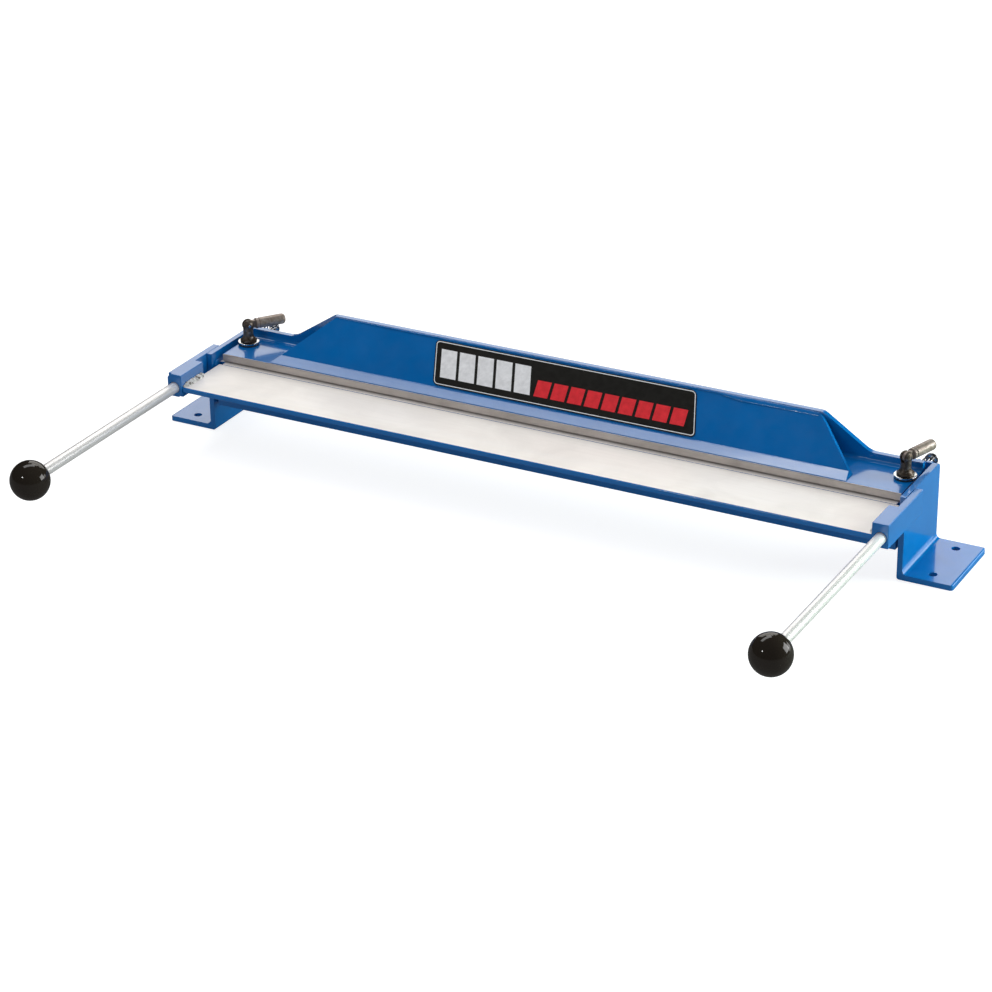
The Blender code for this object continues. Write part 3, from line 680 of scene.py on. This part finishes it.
def arm(side, sign):
    """Bar with chamfered corners, stepped in behind, drilled for the rod and the pin."""
    node = f"arm_{side}"
    inner, outer = reach(node, sign)
    lo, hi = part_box(node)
    step_back, side_gap = 31.5 * MM, 0.3 * MM
    step_y = HINGE.y - step_back
    plate_in = reach(f"end_bracket_{side}", sign)[0] + PLATE + side_gap
    outline = [(inner, lo.y), (outer, lo.y), (outer, hi.y), (plate_in, hi.y), (plate_in, step_y),
               (inner, step_y)]
    obj = pulled(f"arm_bar_{side}", mirrored(outline, sign), "Z", lo.z, hi.z)
    rod_spot = middle(f"handle_rod_{side}")
    bore = sorted((sign * (outer - SKIN), sign * (inner - PLATE)))
    cutters = [turned("cut_pin", bar_profile(PIN_R + 0.12 * MM, *bore), (0, HINGE.y, HINGE.z), "X", steps=48),
               turned("cut_rod", bar_profile(6.2 * MM, -5 * MM, 20.3 * MM),
                      (rod_spot.x, lo.y, rod_spot.z), "Y", steps=48)]
    nick = 4.2 * MM
    # Two opposite corners of the left arm's front end are nipped off; the right arm's are whole.
    corners = [(outer, hi.z, 1, 1), (inner, lo.z, -1, -1)] if side == "left" else []
    for x, z, way_x, way_z in corners:
        wedge = [(x - way_x * nick, z), (x, z - way_z * nick), (x + way_x * nick, z - way_z * nick),
                 (x + way_x * nick, z + way_z * nick), (x - way_x * nick, z + way_z * nick)]
        cutters.append(pulled("cut_corner", mirrored(wedge, sign), "Y", lo.y - nick, lo.y + 2.6 * MM))
    carve(obj, *cutters)
    soften(obj, 0.8 * MM, 3)
    piece(obj, "leaf", "blue_paint", BLUE, replaces=[node])


def handle_rod(side):
    """Plated round bar with a turned neck inside the knob."""
    node = f"handle_rod_{side}"
    lo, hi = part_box(node)
    spot = middle(node)
    neck = middle(f"knob_{side}").y + 16.4 * MM
    edge, radius, neck_radius, shoulder = 0.8 * MM, 6 * MM, 4.4 * MM, 5.2 * MM
    neck_end = neck - 0.2 * MM
    profile = [(0, lo.y), (neck_radius, lo.y), (neck_radius, neck_end), (shoulder, neck_end)]
    profile += [(radius, neck + edge)] + arc((radius - edge, hi.y - edge), edge, 0, 90, 4)
    profile += [(0, hi.y)]
    obj = turned(f"rod_{side}", profile, (spot.x, 0, spot.z), "Y", steps=72)
    piece(obj, "leaf", "zinc", ROD, replaces=[node])


def knob(side):
    """Moulded ball with a flat round its bore."""
    node = f"knob_{side}"
    lo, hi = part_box(node)
    centre = Vector((middle(node).x, lo.y, middle(node).z))
    radius = (hi.x - lo.x) / 2
    centre.y += radius
    flat = hi.y - centre.y
    rim, bore, bottom, lip = 1.2 * MM, 7 * MM, -3.2 * MM, 0.6 * MM
    limit = math.degrees(math.asin(flat / radius)) - 2.5
    profile = [(0, bottom), (bore, bottom), (bore, flat - lip)]
    profile += arc((bore + lip, flat - lip), lip, 180, 90, 4)
    profile += [(radius * math.cos(math.radians(limit)) - rim, flat)]
    profile += arc((0, 0), radius, limit, -90, 48)[:-1] + [(0, -radius)]
    obj = turned(f"ball_{side}", profile, centre, "Y", steps=96)
    piece(obj, "leaf", "phenolic", BALL, replaces=[node])


def knob_insert(side):
    node = f"knob_insert_{side}"
    lo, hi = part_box(node)
    spot = middle(node)
    obj = turned(f"insert_{side}", ring_profile(4.7 * MM, 6.7 * MM, lo.y, hi.y), (spot.x, 0, spot.z),
                 "Y", steps=40, ring=True)
    piece(obj, "leaf", "brass", BRASS, replaces=[node])


# ---- clamp bar ---------------------------------------------------------------------
def clamp_bar():
    """Angle with a bare ground nose and a high painted rear leg that slopes to both ends."""
    lo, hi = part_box("clamp_bar")
    ridge_half = high("ridge_weld").x + 4 * MM
    slope_half = high("stiffener_panel").x + 2.6 * MM
    flat_top, end_top = lo.z + 8 * MM, lo.z + 17.5 * MM
    leg_front, root, nose, lip, heel = hi.y - PLATE, 5 * MM, 1.3 * MM, 0.6 * MM, 2 * MM
    outline = arc((lo.y + lip, lo.z + lip), lip, 180, 270, 3)
    outline += arc((hi.y - heel, lo.z + heel), heel, 270, 360, 5)
    outline += [(hi.y, hi.z), (leg_front, hi.z)]
    outline += arc((leg_front - root, flat_top + root), root, 0, -90, 8)
    outline += arc((lo.y + nose, flat_top - nose), nose, 90, 180, 5)
    obj = pulled("bar_angle", outline, "X", lo.x, hi.x)
    sweep = 22 * MM
    slope = math.atan2(hi.z - end_top, slope_half - ridge_half)
    run = sweep * math.tan(slope / 2)
    above, beyond = hi.z + 5 * MM, hi.x + 5 * MM
    crest = 0.6                       # the upper bend's share of the lower bend's radius
    waste = [(ridge_half, above)]
    waste += arc((ridge_half - crest * run, hi.z - crest * sweep), crest * sweep, 90,
                 90 - math.degrees(slope), 6)
    waste += arc((slope_half + run, end_top + sweep), sweep, 270 - math.degrees(slope), 270, 10)
    waste += [(beyond, end_top), (beyond, above)]
    cutters = []
    for side, sign in SIDES:
        stud, adjuster = middle(f"clamp_stud_{side}"), middle(f"adjuster_stud_{side}")
        place = (stud.x, stud.y, 0)
        cutters += [
            pulled("cut_slope", mirrored(waste, sign), "Y", leg_front - 5 * MM, hi.y + 5 * MM),
            turned("cut_stud", bar_profile(5 * MM, lo.z - 2 * MM, flat_top + 2 * MM), place, steps=40),
            turned("cut_spring", bar_profile(7.6 * MM, lo.z - 2 * MM, lo.z + 5 * MM), place, steps=40),
            turned("cut_adjuster", bar_profile(2.7 * MM, hi.y - 14 * MM, hi.y + 2 * MM),
                   (adjuster.x, 0, adjuster.z), "Y", steps=32)]
    carve(obj, *cutters)
    soften(obj, 0.6 * MM, 2)
    piece(obj, "clamp_bar_body", "blue_paint", BLUE, NOSE, replaces=["clamp_bar"])
    by_facing(obj, lambda p: p.center.y < lo.y + MM or (p.normal.z < -0.9 and p.center.z < lo.z + MM), 1)


def panel():
    """Stiffener plate leaning from the flat up to the ridge, and the painted weld along it."""
    lo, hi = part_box("stiffener_panel")
    skew, rise, toe = 3 * MM * math.sqrt(2), 3.1 * MM, 0.3 * MM
    ridge_half = high("ridge_weld").x + MM
    bend = hi.y - (hi.z - lo.z - rise)
    bend_half = hi.x - 4.3 * MM
    outline = [(lo.y, lo.z), (bend - rise + skew, lo.z), (hi.y, hi.z - skew), (hi.y, hi.z),
               (bend, lo.z + rise), (lo.y, lo.z + toe)]
    obj = pulled("panel_plate", outline, "X", lo.x, hi.x)
    above, beyond = hi.z + 5 * MM, hi.x + 5 * MM
    waste = [(hi.x, lo.z - MM), (hi.x, lo.z + toe), (bend_half, lo.z + rise), (ridge_half, hi.z),
             (ridge_half, above), (beyond, above), (beyond, lo.z - MM)]
    carve(obj, *[pulled("cut_end", mirrored(waste, sign), "Y", lo.y - 5 * MM, hi.y + 5 * MM)
                 for _, sign in SIDES])
    soften(obj, 0.25 * MM, 2, 30)
    piece(obj, "clamp_bar_body", "blue_paint", BLUE, replaces=["stiffener_panel"])
    lo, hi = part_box("ridge_weld")
    clear = high("label_plate").x + 8 * MM
    widest, taper, foot = 2.6 * MM, 25 * MM, lo.z + 0.5 * MM

    def flare(share):
        """The weld is wider to the right of the label."""
        past = lo.x + (hi.x - lo.x) * share - clear
        return widest * min(1.0, max(0.0, past / taper))

    bead("ridge_bead", (lo.x, hi.y, foot), (hi.x, hi.y, foot), 1.35 * MM, 1.2 * MM,
         (0, 1, 0), 3, "clamp_bar_body", "blue_paint", BLUE, replaces=["ridge_weld"], lump=0.1,
         flare=flare)


def label_space():
    """Matrix from the label's own plane to the panel, and its half sizes."""
    lo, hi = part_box("label_plate")
    half_y = (hi.y - lo.y) / 2 * math.sqrt(2) - 0.4 * MM
    half_x = (hi.x - lo.x) / 2 - LABEL_LEAN * (half_y - 2 * MM)
    lean = Matrix.Identity(4)
    lean[0][1] = -LABEL_LEAN
    return (Matrix.Translation((lo + hi) / 2) @ Matrix.Rotation(math.pi / 4, 4, "X") @ lean,
            half_x, half_y)


def flat_shape(name, outline, thick, lift, space, finish):
    """Thin shape laid on the label's plane."""
    obj = pulled(name, outline, "Z", lift, lift + thick)
    obj.data.transform(space)
    piece(obj, "clamp_bar_body", "label", finish)


def rounded(half_x, half_y, radius):
    """Rectangle with rounded corners."""
    points = []
    for sx, sy, first in ((1, 1, 0), (-1, 1, 90), (-1, -1, 180), (1, -1, 270)):
        points += arc((sx * (half_x - radius), sy * (half_y - radius)), radius, first, first + 90)
    return points


def label():
    """Black plate with a white keyline; rows of plain white and red blocks are its print."""
    space, half_x, half_y = label_space()
    thick = 0.4 * MM
    top = thick - 0.15 * MM
    plate = pulled("label_base", rounded(half_x, half_y, 6 * MM), "Z", -thick, top)
    plate.data.transform(space)
    piece(plate, "clamp_bar_body", "label", INK_BLACK, replaces=["label_plate"])
    inset, line = 1.2 * MM, 0.9 * MM
    frame_line = pulled("label_keyline", rounded(half_x - inset, half_y - inset, 4.3 * MM), "Z",
                        top - 0.1 * MM, top + 0.1 * MM)
    carve(frame_line, pulled("cut_keyline", rounded(half_x - inset - line, half_y - inset - line, 3.5 * MM),
                             "Z", -MM, MM))
    frame_line.data.transform(space)
    piece(frame_line, "clamp_bar_body", "label", INK_WHITE)
    foot, gap = -16 * MM, 3.4 * MM
    # Each row: tone, ink, left and right end, number of blocks, height and slant.
    rows = (("white", INK_WHITE, -half_x + 8 * MM, -half_x + 120 * MM, 5, 32 * MM, 0),
            ("red", INK_RED, -half_x + 121 * MM, half_x - 10 * MM, 9, 18.5 * MM, 0.25))
    for tone, ink, left, right, count, tall, slant in rows:
        pitch = (right - left) / count
        for number in range(count):
            start, shift = left + number * pitch, slant * tall
            end = start + pitch - gap
            outline = [(start, foot), (end, foot), (end + shift, foot + tall),
                       (start + shift, foot + tall)]
            flat_shape(f"label_{tone}_{number}", outline, 0.2 * MM, top - 0.1 * MM, space, ink)


def clamp_stack(side):
    """Dark spacer and bright washer under the nut."""
    hole = 4.6
    for node, radius, finish, slot in (("spacer", 11.5, OXIDE, "black_oxide"),
                                       ("washer", 12.0, ZINC, "zinc")):
        name = f"{node}_{side}"
        lo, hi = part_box(name)
        spot = middle(name)
        obj = turned(f"{node}_disc_{side}", ring_profile(hole * MM, radius * MM, lo.z, hi.z, 0.45 * MM),
                     (spot.x, spot.y, 0), steps=72, ring=True)
        piece(obj, "clamp_bar_body", slot, finish, replaces=[name])


def adjuster(side):
    """Threaded stud behind the bar with its washers, spring and nut."""
    spot = middle(f"adjuster_stud_{side}")
    place = (spot.x, 0, spot.z)
    lo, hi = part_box(f"adjuster_stud_{side}")
    piece(threaded(f"adjust_screw_{side}", 2.5 * MM, lo.y, hi.y, 0.8 * MM, place, "Y", 0.3 * MM, 20),
          "clamp_bar_body", "zinc", ZINC, replaces=[f"adjuster_stud_{side}"])
    for part in ("seat", "washer"):
        node = f"adjuster_{part}_{side}"
        lo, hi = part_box(node)
        piece(turned(f"adjust_{part}_{side}", ring_profile(2.8 * MM, 6.8 * MM, lo.y, hi.y, 0.2 * MM),
                     place, "Y", steps=48, ring=True), "clamp_bar_body", "zinc", ZINC, replaces=[node])
    node = f"adjuster_spring_{side}"
    lo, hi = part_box(node)
    wire = 0.65 * MM
    first, last = lo.y + wire, hi.y - wire
    heights = [first, first + 2.4 * wire, last - 7 * MM, last]
    piece(spring(f"adjust_coil_{side}", wire, COIL_R, heights, place, "Y"), "clamp_bar_body",
          "spring_steel", WIRE, replaces=[node])
    node = f"adjuster_nut_{side}"
    lo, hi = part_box(node)
    piece(hexagon(f"adjust_nut_{side}", 4.6 * MM, lo.y, hi.y, 2.6 * MM, place, "Y"), "clamp_bar_body",
          "zinc", ZINC, replaces=[node])


# ---- clamp nuts and levers -------------------------------------------------------------
def clamp_head(side):
    """Flanged nut post with a slotted ball head, its lever and the lever's pin."""
    joint = JOINTS[f"lever_fold_{side}"]
    pivot = Vector(joint["pos_m"])
    axis = Vector(joint["axis"])
    turn = math.atan2(axis.x, -axis.y)
    spin = Matrix.Translation(pivot) @ Matrix.Rotation(turn, 4, "Z")
    foot = low(f"clamp_nut_{side}").z - pivot.z
    flange, shank, ball, stem, stem_foot = 9.2 * MM, 5.6 * MM, 6.6 * MM, 4.3 * MM, -7.6 * MM
    play, reach_out, pin_half = 0.1 * MM, 9 * MM, 5.9 * MM
    cheek = TONGUE / 2 + 0.2 * MM
    seat = -math.degrees(math.acos(shank / ball))
    profile = [(0, stem_foot), (stem, stem_foot), (stem, foot), (flange - 0.4 * MM, foot)]
    profile += arc((flange - 0.5 * MM, foot + 0.5 * MM), 0.5 * MM, -80, 0, 3)
    profile += arc((flange - 0.6 * MM, foot + 1.4 * MM), 0.6 * MM, 0, 50, 3)
    profile += [(shank + 1.9 * MM, foot + 3.3 * MM), (shank + 0.7 * MM, foot + 4.8 * MM),
                (shank + 0.15 * MM, foot + 6.3 * MM), (shank, foot + 7.4 * MM)]
    profile += arc((0, 0), ball, seat, 90, 22)[:-1] + [(0, ball)]
    head = turned(f"nut_post_{side}", profile, pivot, turn=turn, steps=64)
    slot = slab("cut_slot", (-reach_out, -cheek, -5.2 * MM), (reach_out, cheek, reach_out))
    slot.data.transform(spin)
    carve(head, slot, turned("cut_pin", bar_profile(PIVOT_R + play, -reach_out, reach_out), pivot, "Y", turn,
                             steps=32))
    soften(head, 0.25 * MM, 2)
    piece(head, f"clamp_head_{side}", "black_oxide", OXIDE, replaces=[f"clamp_nut_{side}"])

    round_r, nose, heel, tip = 5.9 * MM, 3.4 * MM, 8.6 * MM, 43.5 * MM
    # A collar at the heel, a groove, then the grip with its rounded nose.
    profile = [(0, heel), (round_r - 0.5 * MM, heel), (round_r, 9.1 * MM), (round_r, 11 * MM),
               (round_r - 0.3 * MM, 11.4 * MM), (round_r - 0.7 * MM, 11.5 * MM),
               (round_r - 0.7 * MM, 12.7 * MM), (round_r - 0.3 * MM, 12.8 * MM), (round_r, 13.3 * MM)]
    profile += arc((round_r - nose, tip - nose), nose, 0, 90, 10) + [(0, tip)]
    lever = turned(f"lever_bar_{side}", profile, pivot, "X", turn, steps=64)
    eye, root, half = 4.6 * MM, 9.4 * MM, 4.2 * MM
    outline = arc((0, 0), eye, 90, 270, 20) + [(root, -half), (root, half)]
    tongue = pulled("tongue", outline, "Y", -TONGUE / 2, TONGUE / 2)
    tongue.data.transform(spin)
    weld_on(lever, tongue)
    carve(lever, turned("cut_pin", bar_profile(PIVOT_R + play, -reach_out, reach_out), pivot, "Y", turn,
                        steps=32))
    soften(lever, 0.25 * MM, 2)
    piece(lever, f"lever_{side}", "black_oxide", LEVER, replaces=[f"clamp_lever_{side}"])
    pin = turned(f"fold_pin_{side}", bar_profile(PIVOT_R, -pin_half, pin_half, 0.4 * MM), pivot, "Y", turn,
                 steps=32)
    piece(pin, f"clamp_head_{side}", "zinc", ZINC, replaces=[f"lever_pin_{side}"])


def arm_weld(side, sign):
    """Bright lumpy bead along the joint of arm and leaf."""
    lo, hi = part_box(f"leaf_weld_{side}")
    wall = lo.x if sign < 0 else hi.x
    bead(f"arm_bead_{side}", (wall, lo.y, lo.z), (wall, hi.y, lo.z), 4.9 * MM, 3.9 * MM, (sign, 0, 0),
         1 + sign, "leaf", "weld_metal", WELD, replaces=[f"leaf_weld_{side}"], lump=0.2)


def bed_weld(side, sign):
    """Painted bead under the bed, along the bracket."""
    lo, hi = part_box(f"bed_weld_{side}")
    wall = lo.x if sign < 0 else hi.x
    bead(f"bed_bead_{side}", (wall, lo.y, hi.z), (wall, hi.y, hi.z), 4.8 * MM, -4.8 * MM, (sign, 0, 0),
         5 + sign, "frame", "weld_metal", BLUE, replaces=[f"bed_weld_{side}"], lump=0.15)


def build():
    bed()
    leaf()
    clamp_bar()
    panel()
    label()
    for side, sign in SIDES:
        end_bracket(side, sign)
        hinge_pin(side, sign)
        clamp_stud(side)
        stud_nut(side)
        lift_spring(side)
        arm(side, sign)
        handle_rod(side)
        knob(side)
        knob_insert(side)
        clamp_stack(side)
        adjuster(side)
        clamp_head(side)
        arm_weld(side, sign)
        bed_weld(side, sign)


# ---- camera, floor and light -------------------------------------------------------------
def camera():
    """Long lens, well above and to the right of the handles."""
    spot = (1.3613, -2.4802, 1.4052)
    swing, dip, roll = 28.52, 25.51, -0.77      # degrees: about Z, below level, about the view
    eye = bpy.data.cameras.new("camera")
    eye.sensor_width = 36
    eye.lens = 111.68
    eye.clip_end = 100
    obj = bpy.data.objects.new("camera", eye)
    bpy.context.scene.collection.objects.link(obj)
    obj.matrix_world = (Matrix.Translation(spot)
                        @ Matrix.Rotation(math.radians(swing), 4, "Z")
                        @ Matrix.Rotation(math.radians(90 - dip), 4, "X")
                        @ Matrix.Rotation(math.radians(roll), 4, "Z"))
    bpy.context.scene.camera = obj


def lamp(name, spot, aim, size, radiance, tint=(1, 1, 1), reflected=True):
    """Rectangular lamp by its radiance; fill lamps are left out of reflections."""
    data = bpy.data.lights.new(name, "AREA")
    data.shape = "RECTANGLE"
    data.size, data.size_y = size
    data.energy = radiance * math.pi * size[0] * size[1]
    data.color = tint
    obj = bpy.data.objects.new(name, data)
    bpy.context.scene.collection.objects.link(obj)
    obj.location = spot
    obj.rotation_euler = (Vector(aim) - Vector(spot)).to_track_quat("-Z", "Y").to_euler()
    obj.visible_camera = False
    obj.visible_glossy = reflected


def by_ray(s, seen, glossy, other):
    """Value for camera rays, then for mirrored rays, then for all others."""
    path = s.node("ShaderNodeLightPath")
    unseen = s.spread(path.outputs["Is Glossy Ray"], 0, 1, other, glossy)
    mix = s.node("ShaderNodeMix")
    mix.data_type = "FLOAT"
    s.join(path.outputs["Is Camera Ray"], mix.inputs[0])
    s.join(unseen, mix.inputs[2])
    mix.inputs[3].default_value = seen
    return mix.outputs[0]


def ground():
    """Pale floor, dimmer in reflections than it looks."""
    half = 40
    bm = bmesh.new()
    bmesh.ops.create_grid(bm, x_segments=1, y_segments=1, size=half)
    floor = scratch("floor", bm, 0)
    floor.location.z = -0.2 * MM
    s = Surface("pale_floor", (0.5, 0.5, 0.5), 0.0, 0.9, Specular_IOR_Level=0.0)
    s.shader.inputs["Emission Color"].default_value = (1, 1, 1, 1)
    s.colour(by_ray(s, seen=0.5, glossy=0.12, other=0.5))
    s.join(by_ray(s, seen=0.80, glossy=0.03, other=0.1), s.shader.inputs["Emission Strength"])
    floor.data.materials.append(s.material)


def sky():
    """Pale sky: full strength to the camera, none in reflections, weak as light."""
    seen, glossy, other = 1.0, 0.0, 0.3
    world = bpy.data.worlds.new("studio")
    world.use_nodes = True
    tree = world.node_tree
    background = tree.nodes["Background"]
    background.inputs["Color"].default_value = (0.92, 0.95, 1, 1)
    path = tree.nodes.new("ShaderNodeLightPath")
    dim = tree.nodes.new("ShaderNodeMapRange")
    dim.inputs["To Min"].default_value = other
    dim.inputs["To Max"].default_value = glossy
    tree.links.new(path.outputs["Is Glossy Ray"], dim.inputs["Value"])
    mix = tree.nodes.new("ShaderNodeMix")
    mix.data_type = "FLOAT"
    mix.inputs[3].default_value = seen
    tree.links.new(path.outputs["Is Camera Ray"], mix.inputs[0])
    tree.links.new(dim.outputs["Result"], mix.inputs[2])
    tree.links.new(mix.outputs[0], background.inputs["Strength"])
    bpy.context.scene.world = world


def lamps():
    """Softboxes behind, beside and above, a small lamp in front, and three unreflected fills."""
    warm = (1, 0.975, 0.92)
    lamp("rear_box", (-0.78, 1.75, 1.05), (0, 0, 0.08), (1.8, 1.2), 1.5, warm)
    lamp("right_box", (1.75, 1.9, 0.45), (0, 0, 0.05), (1.1, 0.8), 2.0)
    lamp("front_lamp", (-1.08, -2.74, 1.92), (0, 0, 0.05), (0.3, 0.3), 22)
    lamp("high_box", (-0.7, 1.75, 2.05), (0.25, 0.1, 0.1), (1.0, 0.5), 2.2, warm)
    lamp("crown_box", (-1.1, 0.8, 2.5), (0, -0.2, 0.08), (2.2, 0.8), 2.6)
    lamp("side_box", (1.84, 0.83, 0.77), (0.4, -0.2, 0.07), (1.1, 0.95), 4.6)
    lamp("top_fill", (0.2, -0.2, 2.6), (0, 0, 0), (2.4, 2.0), 1.1, (0.98, 0.975, 1), reflected=False)
    lamp("front_fill", (0.3, -2.6, 0.9), (0, 0, 0.08), (2.2, 1.4), 0.55, (0.85, 0.92, 1), reflected=False)
    lamp("right_fill", (1.2, 0.55, 0.14), (0.45, 0.15, 0.06), (0.7, 0.5), 11.0, (0.74, 1, 0.82),
         reflected=False)


build()
camera()
ground()
sky()
lamps()
bpy.context.scene.view_settings.view_transform = "Standard"
